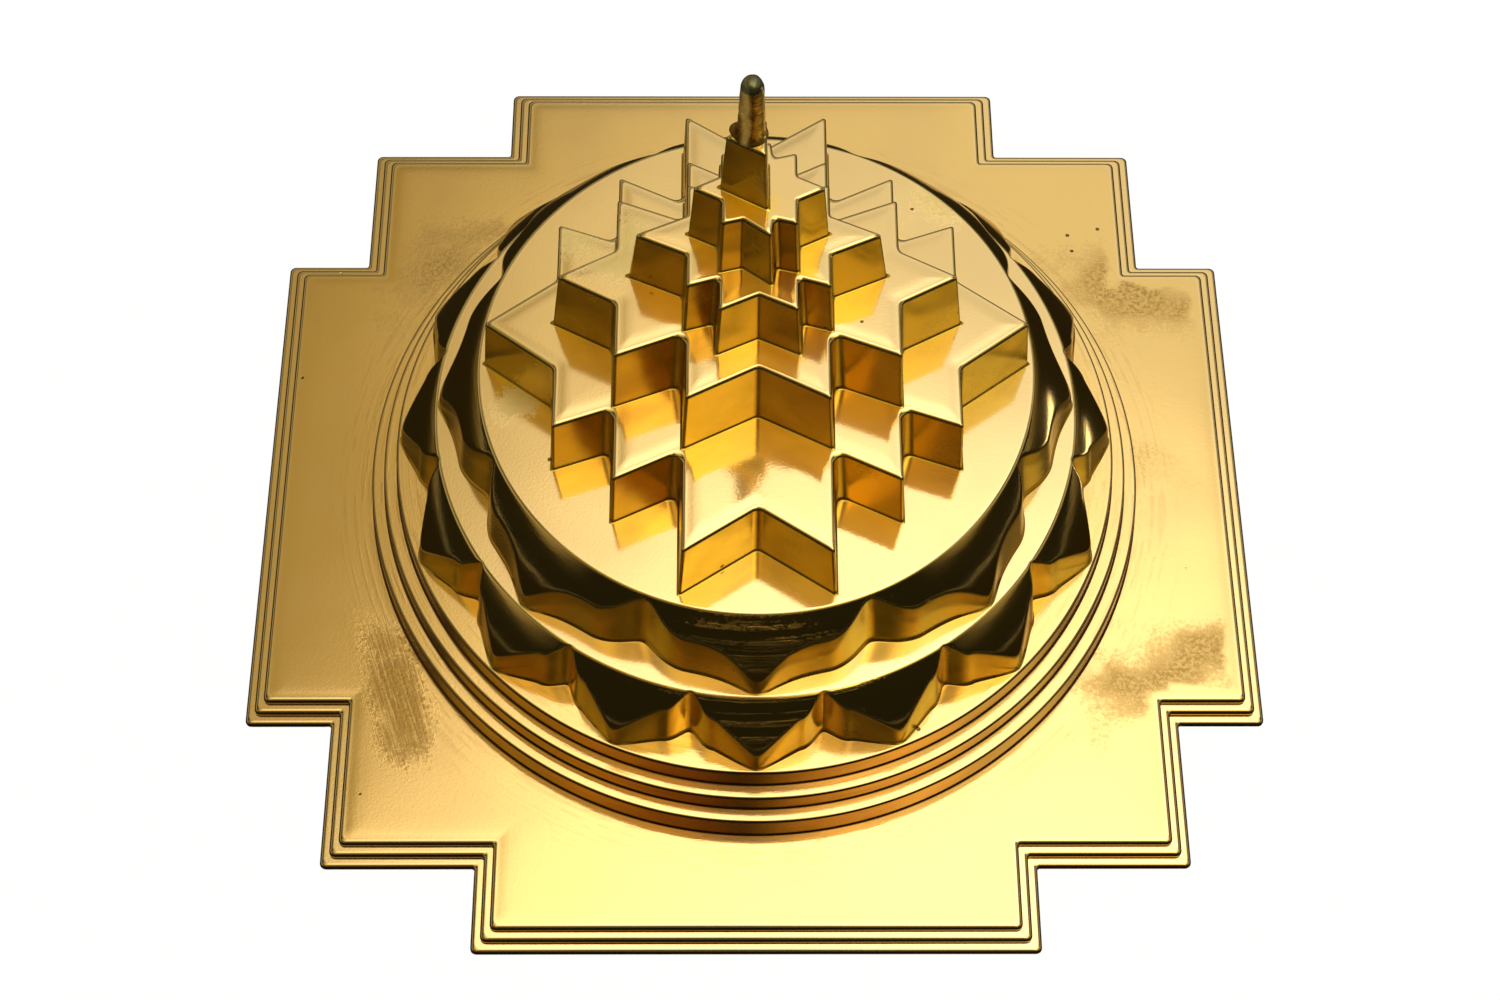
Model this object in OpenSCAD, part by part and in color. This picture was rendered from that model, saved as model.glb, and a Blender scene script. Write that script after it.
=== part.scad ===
// Stepped brass meru yantra: terraces, circles, two lotuses and five star tiers stacked on one tie rod.
// Millimetres, +Z up, origin at the bottom centre, -Y towards the viewer.

/* [Square base] */
// Width across the square base, from gate to gate
base_w = 152; // [140:1:180]
// Width of each gate arm
gate_w = 81.6; // [70:0.2:90]
// Width across the shoulders between the gates
shoulder_w = 126.4; // [120:0.2:134]
// Set-back of each terrace from the one below
terrace_step = 1.4; // [0.8:0.1:2.5]
// Thickness of each terrace plate
terrace_h = 1.1; // [0.8:0.1:2]

/* [Three circles] */
// Foot diameter of the lower circle
circle_d = 118.2; // [114:0.2:120]
// Set-back of each circle from the one below
circle_step = 2.3; // [1.5:0.1:3]
// Height of the lower circle
circle_low_h = 4.4; // [3:0.1:6]
// Height of the middle circle
circle_mid_h = 3.4; // [3:0.1:6]
// Height of the upper circle
circle_top_h = 3.8; // [3.6:0.1:6]

/* [Sixteen-petal lotus] */
// Diameter across the petal tips before they are blunted
lotus16_tip_d = 108; // [104:0.2:108.4]
// Diameter across the notches before they are rounded
lotus16_notch_d = 95.8; // [94:0.2:98]
// Diameter of the flat top
lotus16_flat_d = 94.6; // [90:0.2:95.4]
// Diameter at which the sloping shoulder would meet the floor
lotus16_skirt_d = 109.4; // [108.6:0.2:114]
// Height of the tier
lotus16_h = 10.8; // [8:0.1:14]

/* [Eight-petal lotus] */
// Diameter across the petal tips before they are blunted
lotus8_tip_d = 95.2; // [90:0.2:96]
// Diameter across the notches before they are rounded
lotus8_notch_d = 82.2; // [80.4:0.2:86]
// Diameter of the flat top
lotus8_flat_d = 80; // [78.8:0.2:82]
// Diameter at which the sloping shoulder would meet the floor
lotus8_skirt_d = 94.8; // [94:0.2:99]
// Height of the tier
lotus8_h = 11.5; // [8:0.1:14]

/* [Petal outline] */
// Part of a petal's length that is left at its waist
petal_waist = 0.5; // [0.4:0.01:0.65]
// Where the waist lies between tip and notch, sixteen-petal lotus
lotus16_waist_at = 0.62; // [0.45:0.01:0.7]
// Where the waist lies between tip and notch, eight-petal lotus
lotus8_waist_at = 0.59; // [0.45:0.01:0.7]
// Sweep of the tip, sixteen-petal lotus: 1 is straight, more is hollow
lotus16_sweep = 1.1; // [1:0.05:3]
// Sweep of the tip, eight-petal lotus
lotus8_sweep = 2.7; // [1:0.05:3]
// Draft of the petal walls in degrees
petal_draft = 7.5; // [2:0.5:8]
// Bulge of the sloping shoulder: 1 is a straight cone, 2 a quarter ellipse
shoulder_bulge = 1.25; // [1.05:0.05:2]

/* [Fourteen-point star] */
// Reach of the left and right points
star14_reach = 39.3; // [37:0.1:40]
// Distances of the three cross lines from the centre
star14_lines = [28.9, 20.4, 10.9]; // [8:0.1:32]
// Half width of the inner corner at each cross line
star14_inner = [7.6, 14.6, 21.4]; // [5:0.1:24]
// Half width of the point at each cross line
star14_outer = [17.6, 26, 37.2]; // [15:0.1:38]
// Half width of the notch at the centre line
star14_notch = 30; // [27:0.1:32]
// Height of the tier
star14_h = 10.9; // [8:0.1:14]

/* [Outer ten-point star] */
// Reach of the left and right points
star10a_reach = 28.9; // [27:0.1:30]
// Distances of the two cross lines from the centre
star10a_lines = [20, 10.4]; // [8:0.1:22]
// Half width of the inner corner at each cross line
star10a_inner = [4.7, 10]; // [4:0.1:11]
// Half width of the point at each cross line
star10a_outer = [13.7, 20.4]; // [12:0.1:22]
// Half width of the notch at the centre line
star10a_notch = 15.1; // [13:0.1:17]
// Height of the tier
star10a_h = 11.9; // [8:0.1:14]

/* [Inner ten-point star] */
// Reach of the left and right points
star10b_reach = 18; // [17:0.1:19]
// Distances of the two cross lines from the centre
star10b_lines = [10.1, 5.8]; // [5:0.1:11]
// Half width of the inner corner at each cross line
star10b_inner = [3.5, 7.6]; // [3:0.1:8]
// Half width of the point at each cross line
star10b_outer = [8.9, 12.7]; // [8:0.1:13]
// Half width of the notch at the centre line
star10b_notch = 10; // [9:0.1:11]
// Height of the tier
star10b_h = 10; // [8:0.1:14]

/* [Eight-point star] */
// Reach of the left and right points
star8_reach = 9.7; // [9:0.1:10.5]
// Distance of the left and right cross lines from the centre
star8_line = 5.3; // [5:0.1:5.8]
// Half width of the inner corner at those cross lines
star8_inner = 2.2; // [2:0.1:2.8]
// Half width of the points at those cross lines
star8_outer = 6.1; // [5.8:0.1:6.5]
// Distance of the inner side corners from the centre line
star8_mid = 2.2; // [2:0.1:2.6]
// Half width of the inner side corners
star8_mid_inner = 5.3; // [5:0.1:5.6]
// Distance of the side points from the centre line, towards the right
star8_side = 1.8; // [0.5:0.1:2]
// Half width of the side points
star8_side_outer = 8.2; // [7:0.1:8.6]
// Height of the tier
star8_h = 10.6; // [9.5:0.1:14]

/* [Triangle and bindu] */
// Distance of the triangle's apex to the left of the centre
triangle_apex = 5.4; // [5:0.1:6]
// Distance of the triangle's base line to the right of the centre
triangle_base = 1.2; // [1:0.1:2]
// Width of the triangle's base line
triangle_w = 7.2; // [7:0.1:8]
// Height of the tier
triangle_h = 10.9; // [8:0.1:14]
// Distance of the peg from the centre, towards the left
peg_left = 1.1; // [0.7:0.1:1.3]
// Distance of the peg from the centre, away from the viewer
peg_back = 0.4; // [0:0.1:0.6]
// Diameter of the peg at its foot
peg_foot_d = 3.7; // [3.2:0.1:4]
// Diameter of the peg below its cap
peg_top_d = 3; // [2.6:0.1:3.4]
// Height of the peg below its cap
peg_h = 9.6; // [6:0.1:14]
// Diameter of the peg's cap
peg_cap_d = 2.5; // [2:0.1:2.8]
// Height of the peg's cap
peg_cap_h = 1.2; // [0.6:0.1:2]
// Diameter of the peg's shank
peg_shank_d = 1.6; // [1.2:0.1:1.8]
// Depth of the shank in the eight-point star
peg_bite = 3; // [2:0.1:3.5]

/* [Walls] */
// Draft of the circle and large star walls in degrees
wall_draft = 3.2; // [1:0.1:4]
// Draft of the eight-point star and triangle walls in degrees
apex_draft = 2.1; // [1:0.1:3]
// Radius of the inner corners of the large stars
corner_r = 1.3; // [0.6:0.1:1.8]
// Radius of the inner corners of the small stars
small_corner_r = 0.7; // [0.3:0.1:1]

/* [Tie rod and fasteners] */
// Diameter of the tie rod
rod_d = 4; // [3:0.1:4.2]
// Depth of the tie rod in the eight-point star
rod_bite = 6; // [4:0.1:6.4]
// Width of the nut across its flats
nut_af = 7; // [6:0.1:8]
// Height of the nut
nut_h = 2.2; // [1.8:0.1:3]
// Diameter of the washer
washer_d = 9; // [8:0.1:11]
// Thickness of the washer
washer_h = 0.8; // [0.5:0.1:1.2]
// Height of the nut's lower face above the bottom
nut_recess = 0.6; // [0.2:0.1:1]
// Diameter of the base screws
screw_d = 3; // [2.5:0.1:3.5]
// Diameter of the countersunk screw heads
screw_head_d = 6; // [5:0.1:7]
// Depth of a screw head below the bottom face
screw_recess = 0.1; // [0.05:0.05:0.3]
// Length of the screws in the upper circle
screw_bite = 2.8; // [2:0.1:3]
// Distance of the screws from the upper circle's foot
screw_inset = 10; // [6:0.5:14]
// Number of base screws
screw_count = 8; // [4:1:12]
// Diameter of the locating dowels
dowel_d = 2; // [1:0.1:2]
// Length of the locating dowels
dowel_l = 5; // [3:0.1:6]
// Gap round the rod, screws and dowels
fit = 0.1; // [0.05:0.05:0.2]

/* [Hidden] */
$fn = 96;
corner_steps = 5;
petal_steps = 7;
shoulder_steps = 10;
overcut = 0.5;
brass = "goldenrod";
raw_brass = "darkgoldenrod";
steel = "silver";

// Floor heights, from the bottom up
base_top = 3 * terrace_h;
circle_low_top = base_top + circle_low_h;
circle_mid_top = circle_low_top + circle_mid_h;
circle_top_top = circle_mid_top + circle_top_h;
lotus16_top = circle_top_top + lotus16_h;
lotus8_top = lotus16_top + lotus8_h;
star14_top = lotus8_top + star14_h;
star10a_top = star14_top + star10a_h;
star10b_top = star10a_top + star10b_h;
star8_top = star10b_top + star8_h;
triangle_top = star8_top + triangle_h;

// The tie rod's seat, its nut and its ends
washer_top = max(base_top, nut_recess + nut_h + washer_h);
nut_top = washer_top - washer_h;
rod_bottom = nut_top - nut_h;
rod_top = star10b_top + rod_bite;
pocket_d = max(washer_d, nut_af / cos(30)) + 10 * fit;

// Screws and dowels
circle_top_d = circle_d - 4 * circle_step;
screw_r = circle_top_d / 2 - screw_inset;
screw_tip = circle_mid_top + screw_bite;
screw_head_h = (screw_head_d - screw_d) / 2;
dowel_hole_l = dowel_l + 4 * fit;
dowel_levels = [circle_top_top, lotus16_top, lotus8_top, star14_top, star10a_top, star10b_top];
dowel_reach = [lotus16_notch_d / 2, lotus8_notch_d / 2, star14_lines[0], star10a_lines[0],
               star10b_lines[0], star8_line];

function unit(v) = v / norm(v);
function inward(a, b) = [a[1] - b[1], b[0] - a[0]] / norm(b - a);
function around(pts, i) = pts[(i + len(pts)) % len(pts)];

// Arc that rounds the corner b between its neighbours a and c
function corner_arc(a, b, c, r) =
    let (u = unit(a - b), v = unit(c - b), half = acos(u * v) / 2)
    let (centre = b + unit(u + v) * r / sin(half), middle = atan2(-u[1] - v[1], -u[0] - v[0]))
    [for (k = [0 : corner_steps])
        let (angle = middle + (90 - half) * (1 - 2 * k / corner_steps))
        centre + r * [cos(angle), sin(angle)]];

// Counter-clockwise outline with its inner corners rounded
function soften(pts, r) =
    [for (i = [0 : len(pts) - 1])
        let (a = around(pts, i - 1), b = pts[i], c = around(pts, i + 1))
        each (cross(b - a, c - b) < 0 ? corner_arc(a, b, c, r) : [b])];

// Outline moved inward by d, with sharp corners
function inset(pts, d) =
    [for (i = [0 : len(pts) - 1])
        let (b = pts[i], m = inward(around(pts, i - 1), b), n = inward(b, around(pts, i + 1)))
        b + (m + n) * d / (1 + m * n)];

// Full outlines from the part on one side of the X axis, listed from right to left
function both_sides(half) = concat(half, [for (i = [len(half) - 2 : -1 : 1]) [half[i][0], -half[i][1]]]);
function quarter(reach, lines, inner, outer) =
    [[reach, 0], for (i = [0 : len(lines) - 1]) each [[lines[i], inner[i]], [lines[i], outer[i]]]];
function star(reach, lines, inner, outer, notch) =
    let (q = quarter(reach, lines, inner, outer))
    both_sides(concat(q, [[0, notch]], [for (i = [len(q) - 1 : -1 : 0]) [-q[i][0], q[i][1]]]));

star14_outline = star(star14_reach, star14_lines, star14_inner, star14_outer, star14_notch);
star10a_outline = star(star10a_reach, star10a_lines, star10a_inner, star10a_outer, star10a_notch);
star10b_outline = star(star10b_reach, star10b_lines, star10b_inner, star10b_outer, star10b_notch);
star8_outline = both_sides([[star8_reach, 0], [star8_line, star8_inner], [star8_line, star8_outer],
    [star8_mid, star8_mid_inner], [star8_side, star8_side_outer], [-star8_mid, star8_mid_inner],
    [-star8_line, star8_outer], [-star8_line, star8_inner], [-star8_reach, 0]]);
triangle_outline = [[triangle_base, -triangle_w / 2], [triangle_base, triangle_w / 2], [-triangle_apex, 0]];

// How far a petal's edge has come from notch (0) to tip (1), where s runs from tip (0) to notch (1)
function blunted(s) = 0.5 + (s - 0.5) * (1 - pow(abs(2 * s - 1), 8) / 9);
function petal_reach(s, waist_at, sweep) =
    s < waist_at ? petal_waist + (1 - petal_waist) * pow(1 - s / waist_at, sweep)
                 : petal_waist * (1 - pow((s - waist_at) / (1 - waist_at), 1.8));
function petal_ring(petals, tip_d, notch_d, waist_at, sweep, narrower) =
    [for (i = [0 : petals * 2 * petal_steps - 1])
        let (turn = i / petal_steps, s = blunted(abs((turn + 1) % 2 - 1)))
        let (r = notch_d / 2 + (tip_d - notch_d) / 2 * petal_reach(s, waist_at, sweep) - narrower)
        r * [cos(turn * 180 / petals - 90), sin(turn * 180 / petals - 90)]];

// Closed body between a foot outline and a top outline with as many points, both seen whole from the centre
module drafted(foot, top, h) {
    n = len(foot);
    sides = [for (i = [0 : n - 1]) let (j = (i + 1) % n) each [[i, i + n, j + n], [i, j + n, j]]];
    ends = [for (i = [0 : n - 1]) let (j = (i + 1) % n) each [[2 * n, i, j], [2 * n + 1, j + n, i + n]]];
    rings = concat([for (p = foot) [p[0], p[1], 0]], [for (p = top) [p[0], p[1], h]]);
    polyhedron(concat(rings, [[0, 0, 0], [0, 0, h]]), concat(sides, ends));
}

module star_body(outline, h, r, draft) {
    drafted(soften(outline, r), soften(inset(outline, h * tan(draft)), r), h);
}

// Turned drum whose sloping shoulder runs from the flat top down to the skirt
module shoulder_drum(flat_d, skirt_d, h) {
    run = (skirt_d - flat_d) / 2;
    curve = [for (k = [0 : shoulder_steps])
        let (t = 90 * k / shoulder_steps, power = 2 / shoulder_bulge)
        [flat_d / 2 + run * pow(cos(t), power), h * pow(sin(t), power)]];
    rotate_extrude() polygon(concat([[0, 0]], curve, [[0, h]]));
}

module lotus_body(petals, tip_d, notch_d, flat_d, skirt_d, h, waist_at, sweep) {
    slope = tan(petal_draft);
    intersection() {
        translate([0, 0, -overcut])
            drafted(petal_ring(petals, tip_d, notch_d, waist_at, sweep, -overcut * slope),
                    petal_ring(petals, tip_d, notch_d, waist_at, sweep, (h + overcut) * slope),
                    h + 2 * overcut);
        shoulder_drum(flat_d, skirt_d, h);
    }
}

module rod_hole() {
    translate([0, 0, -overcut]) cylinder(h = rod_top + fit + overcut, d = rod_d + 2 * fit);
}

module rod_pocket() {
    translate([0, 0, -overcut]) cylinder(h = washer_top + overcut, d = pocket_d);
}

module at_screws() {
    for (i = [0 : screw_count - 1])
        rotate((i + 0.5) * 360 / screw_count) translate([screw_r, 0, 0]) children();
}

// Countersunk screw, also used wider and deeper as its own hole
module screw(gap, below) {
    translate([0, 0, screw_recess - below]) {
        cylinder(h = screw_head_h + below, d1 = screw_head_d + 2 * (gap + below), d2 = screw_d + 2 * gap);
        cylinder(h = screw_tip - screw_recess + below + gap, d = screw_d + 2 * gap);
    }
}

module screw_holes() {
    at_screws() screw(fit, screw_recess);
}

module at_dowels() {
    for (i = [0 : len(dowel_levels) - 1], side = [-1, 1])
        translate([side * (rod_d / 2 + dowel_reach[i]) / 2, 0, dowel_levels[i]]) children();
}

module dowel_holes() {
    at_dowels() cylinder(h = dowel_hole_l, d = dowel_d + 2 * fit, center = true);
}

module terrace(k) {
    back = k * terrace_step;
    side = base_w - 2 * back;
    gate = gate_w - 2 * back;
    shoulder = shoulder_w - 2 * back;
    color(brass) difference() {
        translate([0, 0, k * terrace_h]) linear_extrude(terrace_h) {
            square([side, gate], center = true);
            square([gate, side], center = true);
            square(shoulder, center = true);
        }
        rod_pocket();
        screw_holes();
    }
}

module circle_tier(k, floor_z, h) {
    d = circle_d - 2 * k * circle_step;
    color(brass) difference() {
        translate([0, 0, floor_z]) cylinder(h = h, d1 = d, d2 = d - 2 * h * tan(wall_draft));
        rod_hole();
        rod_pocket();
        screw_holes();
        dowel_holes();
    }
}

module drilled_tier(floor_z) {
    color(brass) difference() {
        translate([0, 0, floor_z]) children();
        rod_hole();
        dowel_holes();
    }
}

module lower_terrace() { terrace(0); }
module middle_terrace() { terrace(1); }
module upper_terrace() { terrace(2); }
module lower_circle() { circle_tier(0, base_top, circle_low_h); }
module middle_circle() { circle_tier(1, circle_low_top, circle_mid_h); }
module upper_circle() { circle_tier(2, circle_mid_top, circle_top_h); }

module sixteen_petal_lotus() {
    drilled_tier(circle_top_top)
        lotus_body(16, lotus16_tip_d, lotus16_notch_d, lotus16_flat_d, lotus16_skirt_d, lotus16_h,
                   lotus16_waist_at, lotus16_sweep);
}

module eight_petal_lotus() {
    drilled_tier(lotus16_top)
        lotus_body(8, lotus8_tip_d, lotus8_notch_d, lotus8_flat_d, lotus8_skirt_d, lotus8_h,
                   lotus8_waist_at, lotus8_sweep);
}

module fourteen_point_star() {
    drilled_tier(lotus8_top) star_body(star14_outline, star14_h, corner_r, wall_draft);
}

module outer_ten_point_star() {
    drilled_tier(star14_top) star_body(star10a_outline, star10a_h, corner_r, wall_draft);
}

module inner_ten_point_star() {
    drilled_tier(star10a_top) star_body(star10b_outline, star10b_h, small_corner_r, wall_draft);
}

module peg_hole() {
    translate([-peg_left, peg_back, star8_top - peg_bite - fit])
        cylinder(h = peg_bite + triangle_h + fit + overcut, d = peg_shank_d + 2 * fit);
}

module eight_point_star() {
    difference() {
        drilled_tier(star10b_top) star_body(star8_outline, star8_h, small_corner_r, apex_draft);
        peg_hole();
    }
}

module apex_triangle() {
    color(brass) difference() {
        translate([0, 0, star8_top]) star_body(triangle_outline, triangle_h, small_corner_r, apex_draft);
        peg_hole();
    }
}

// Cast peg with a stepped cap, its shank through the triangle into the star below
module bindu_peg() {
    color(raw_brass) translate([-peg_left, peg_back, triangle_top]) {
        cylinder(h = peg_h, d1 = peg_foot_d, d2 = peg_top_d);
        cylinder(h = peg_h + peg_cap_h, d1 = peg_cap_d, d2 = 0.9 * peg_cap_d);
        translate([0, 0, -triangle_h - peg_bite])
            cylinder(h = triangle_h + peg_bite + overcut, d = peg_shank_d);
    }
}

module tie_rod() {
    color(steel) translate([0, 0, rod_bottom]) cylinder(h = rod_top - rod_bottom, d = rod_d);
}

module tie_rod_washer() {
    color(steel) difference() {
        translate([0, 0, nut_top]) cylinder(h = washer_h, d = washer_d);
        rod_hole();
    }
}

module tie_rod_nut() {
    color(steel) difference() {
        translate([0, 0, rod_bottom]) cylinder(h = nut_h, d = nut_af / cos(30), $fn = 6);
        rod_hole();
    }
}

module base_screws() {
    color(steel) at_screws() screw(0, 0);
}

module locating_dowels() {
    color(steel) at_dowels() cylinder(h = dowel_l, d = dowel_d, center = true);
}

lower_terrace();
middle_terrace();
upper_terrace();
lower_circle();
middle_circle();
upper_circle();
sixteen_petal_lotus();
eight_petal_lotus();
fourteen_point_star();
outer_ten_point_star();
inner_ten_point_star();
eight_point_star();
apex_triangle();
bindu_peg();
tie_rod();
tie_rod_washer();
tie_rod_nut();
base_screws();
locating_dowels();
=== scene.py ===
"""Looks of a polished brass meru yantra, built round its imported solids.

The frame is that of the solids: +Z up, -Y towards the viewer. The object's sizes are in millimetres
until a mesh is made; the studio's are in metres.
"""

import math
from dataclasses import dataclass

import bmesh
import bpy
from mathutils import Matrix, Vector, noise


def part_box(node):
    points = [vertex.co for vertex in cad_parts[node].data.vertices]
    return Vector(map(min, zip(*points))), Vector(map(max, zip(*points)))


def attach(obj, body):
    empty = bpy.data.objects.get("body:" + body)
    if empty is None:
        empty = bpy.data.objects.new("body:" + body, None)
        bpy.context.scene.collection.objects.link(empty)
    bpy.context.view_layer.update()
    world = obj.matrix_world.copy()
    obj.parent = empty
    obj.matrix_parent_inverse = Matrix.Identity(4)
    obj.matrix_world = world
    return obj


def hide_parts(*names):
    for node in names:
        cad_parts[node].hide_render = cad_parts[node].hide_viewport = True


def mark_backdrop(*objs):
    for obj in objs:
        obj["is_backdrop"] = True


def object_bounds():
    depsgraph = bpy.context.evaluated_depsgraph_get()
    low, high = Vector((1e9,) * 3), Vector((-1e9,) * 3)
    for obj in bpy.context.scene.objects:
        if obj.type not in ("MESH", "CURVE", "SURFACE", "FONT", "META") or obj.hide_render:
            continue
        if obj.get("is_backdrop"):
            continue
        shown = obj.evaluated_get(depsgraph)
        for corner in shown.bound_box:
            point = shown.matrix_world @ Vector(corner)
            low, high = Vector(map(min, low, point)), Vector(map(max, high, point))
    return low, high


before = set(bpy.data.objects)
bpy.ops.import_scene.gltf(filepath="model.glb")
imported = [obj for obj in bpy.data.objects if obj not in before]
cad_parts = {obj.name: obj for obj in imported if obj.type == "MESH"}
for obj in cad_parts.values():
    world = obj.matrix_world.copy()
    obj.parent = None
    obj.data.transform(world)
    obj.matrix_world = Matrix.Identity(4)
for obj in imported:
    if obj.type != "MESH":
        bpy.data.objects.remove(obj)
cad_low, cad_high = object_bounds()

MM = 0.001

# Square base: widths of the lowest plate, set-back of each plate above, corner radii, least wall
BASE_W = 152.0
GATE_W = 81.6
SHOULDER_W = 126.4
TERRACE_STEP = 1.4
TERRACE_INNER_R = 0.45
TERRACE_OUTER_R = 0.85
LEAST_WALL = 0.05

# Circles: foot diameter of the lowest, and set-back of each one above
CIRCLE_D = 118.2
CIRCLE_STEP = 2.3
CIRCLE_POINTS = 288

# Lotuses: petal count, tip, notch, flat and skirt diameters, waist place and sweep of the tip
LOTUSES = {
    "sixteen_petal_lotus": (16, 108.0, 95.8, 94.6, 109.4, 0.62, 1.1),
    "eight_petal_lotus": (8, 95.2, 82.2, 80.0, 94.8, 0.59, 2.7),
}
LOTUS_POINTS = 768
PETAL_WAIST = 0.5
PETAL_DRAFT = math.radians(7.5)
SHOULDER_BULGE = 1.5
# Powers in a petal's outline: rounding of tip and notch, and sweep from waist to notch
PETAL_ROUNDING = 8
NOTCH_SWEEP = 1.8
# Rings of a lotus: shares of the wall, steps across the rim, shares of the shoulder
WALL_SHARES = (0.0, 0.04, 0.12, 0.3, 0.6, 0.82)
RIM_STEPS = (-0.5, -0.3, -0.18, -0.09, 0.0, 0.09, 0.18, 0.3, 0.5)
SHOULDER_SHARES = (0.1, 0.25, 0.45, 0.65, 0.85, 1.0)
# Rim: width of the blend of wall and shoulder, room below its steps and least room above
RIM_SOFT = 0.1
RIM_BELOW = 0.6
RIM_ABOVE = 0.9
RIM_SEARCHES = 40

# Stars of four equal quarters: reach, cross lines, inner and outer half widths, notch
STARS = {
    "fourteen_point_star": (39.3, (28.9, 20.4, 10.9), (7.6, 14.6, 21.4), (17.6, 26.0, 37.2), 30.0),
    "outer_ten_point_star": (28.9, (20.0, 10.4), (4.7, 10.0), (13.7, 20.4), 15.1),
    "inner_ten_point_star": (18.0, (10.1, 5.8), (3.5, 7.6), (8.9, 12.7), 10.0),
}
# Upper half of the eight-point star's outline, from right to left
EIGHT_POINT_HALF = (
    (9.7, 0.0), (5.3, 2.2), (5.3, 6.1), (2.2, 5.3), (1.8, 8.2),
    (-2.2, 5.3), (-5.3, 6.1), (-5.3, 2.2), (-9.7, 0.0),
)
TRIANGLE = ((1.2, -3.6), (1.2, 3.6), (-5.4, 0.0))
WALL_DRAFT = math.radians(3.2)
APEX_DRAFT = math.radians(2.1)
LARGE_CORNER_R = 1.3
SMALL_CORNER_R = 0.7

# Peg
PEG_CENTRE = (-1.1, 0.4)
PEG_FOOT_D = 3.7
PEG_TOP_D = 3.0
PEG_CAP_D = 2.8
PEG_CAP_H = 1.2
PEG_SHANK_D = 1.6
PEG_BITE = 3.0
PEG_POINTS = 40
PEG_LEVELS = 22
PEG_CAP_LEVELS = 8
# Solder collar: reach past the foot and height; the taper above it stops short of the cap
PEG_COLLAR = ((0.3, 0.0), (0.24, 0.12), (0.08, 0.35))
PEG_SHORT = 0.6
SHANK_GAP = 0.02
# Neck below the cap: set-back from the upper radius, and depth; then the cap's lip and roundness
PEG_NECK = ((0.02, 0.22), (0.12, 0.08))
PEG_CAP_LIP = 0.06
PEG_CAP_POWER = 0.7
# Uneven casting: waves round the peg and along it, size and shift; smooth at the very tip
PEG_WAVES = ((1.3, 0.22, 0.14, 0.0), (3.0, 0.9, 0.05, 9.0))
PEG_UNEVEN = 0.55
PEG_SMOOTH_TIP = 0.1
# Solder burr at the peg's foot: direction, reach, height, and powers for its width and taper
BURR_WAY = (-0.93, 0.37)
BURR_REACH = 0.8
BURR_H = 1.2
BURR_NARROW = 6
BURR_TAPER = 0.6
# Depth below the cap at which its paint starts, and height of the darker band at the foot
PEG_CAP_PAINT = 0.05
PEG_DARK_FOOT_H = 0.2

# Holes for the tie rod, screws, dowels and peg, and the points round each
ROD_HOLE_D = 4.2
ROD_HOLE_POINTS = 48
POCKET_D = 10.0
HOLE_GAP = 0.1
SCREW_HOLE_POINTS = 32
DOWEL_HOLE_D = 2.2
DOWEL_HOLE_L = 5.4
DOWEL_HOLE_POINTS = 20
PEG_HOLE_POINTS = 24
# Distance of each tier's dowels from the centre, by the tier below the joint
DOWEL_X = {
    "upper_circle": 24.95, "sixteen_petal_lotus": 21.55, "eight_petal_lotus": 15.45,
    "fourteen_point_star": 11.0, "outer_ten_point_star": 6.05, "inner_ten_point_star": 3.65,
}
# Reach of the cutter past a face, and of its steps inside
CUT_PAST = 0.5
CUT_STEP = 0.01

# Screws
SCREW_CIRCLE_R = 44.5
SCREW_COUNT = 8
SCREW_D = 3.0
SCREW_HEAD_D = 6.0
SCREW_POINTS = 24
HEAD_CHAMFER = 0.12
# Hexagon socket: half its width across flats, depth, and its narrower end
SOCKET_R = 1.05
SOCKET_DEPTH = 1.0
SOCKET_END_DEPTH = 1.1
SOCKET_END_SHARE = 0.94
# Thread: pitch, depths of crest and root, start above the neck, and plain length left at the end
THREAD_PITCH = 0.5
THREAD_CREST = 0.02
THREAD_ROOT = 0.22
THREAD_START = 0.4
THREAD_SPARE = 1.0
# End of a screw: set-back from the shank's radius, and distance from its tip
SCREW_TIP = ((0.1, 0.3), (0.4, 0.0))

# Chamfer on the fasteners that keep their solids, in metres
FASTENER_WELD = 0.00001
FASTENER_CHAMFER = 0.0002
FASTENER_ANGLE = math.radians(50)

# Rounding that hand polishing leaves on the edges
EDGE_R = 0.45
CIRCLE_EDGE_R = 0.34
LOTUS_EDGE_R = 0.22
TERRACE_EDGE_R = 0.58
TERRACE_BOTTOM_R = 0.22
POINT_R = 0.32
FOOT_R = 0.22
ARC_STEPS = 5
FOOT_STEPS = 3
SHARP_ANGLE = math.radians(38)
# Distance from a rounding to the ring or point that keeps the face beside it flat
SUPPORT = 0.12
# Painted shade and grime on a wall at heights above its foot fillet, fading upward
GRIME_AND_SHADE_FADE = ((SUPPORT, 0.8), (0.35, 0.25), (0.7, 0.0))
# Tops that fall towards their edge: distance from the rounding, and drop
PLATE_ROLL = ((0.4, 0.03), (0.8, 0.018), (1.3, 0.008), (2.0, 0.0))
STAR_ROLL = ((0.4, 0.05), (0.9, 0.022), (1.6, 0.005), (2.2, 0.0))
# Strip along the plate's edge over which the paint's border runs from 0 to 1
BORDER_W = 4.5


def inset(points, distance):
    """Counter-clockwise outline moved inward, with sharp corners."""
    moved = []
    for i, corner in enumerate(points):
        before, after = points[i - 1], points[(i + 1) % len(points)]
        m = Vector((before.y - corner.y, corner.x - before.x)).normalized()
        n = Vector((corner.y - after.y, after.x - corner.x)).normalized()
        moved.append(corner + (m + n) * (distance / (1 + m.dot(n))))
    return moved


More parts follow.
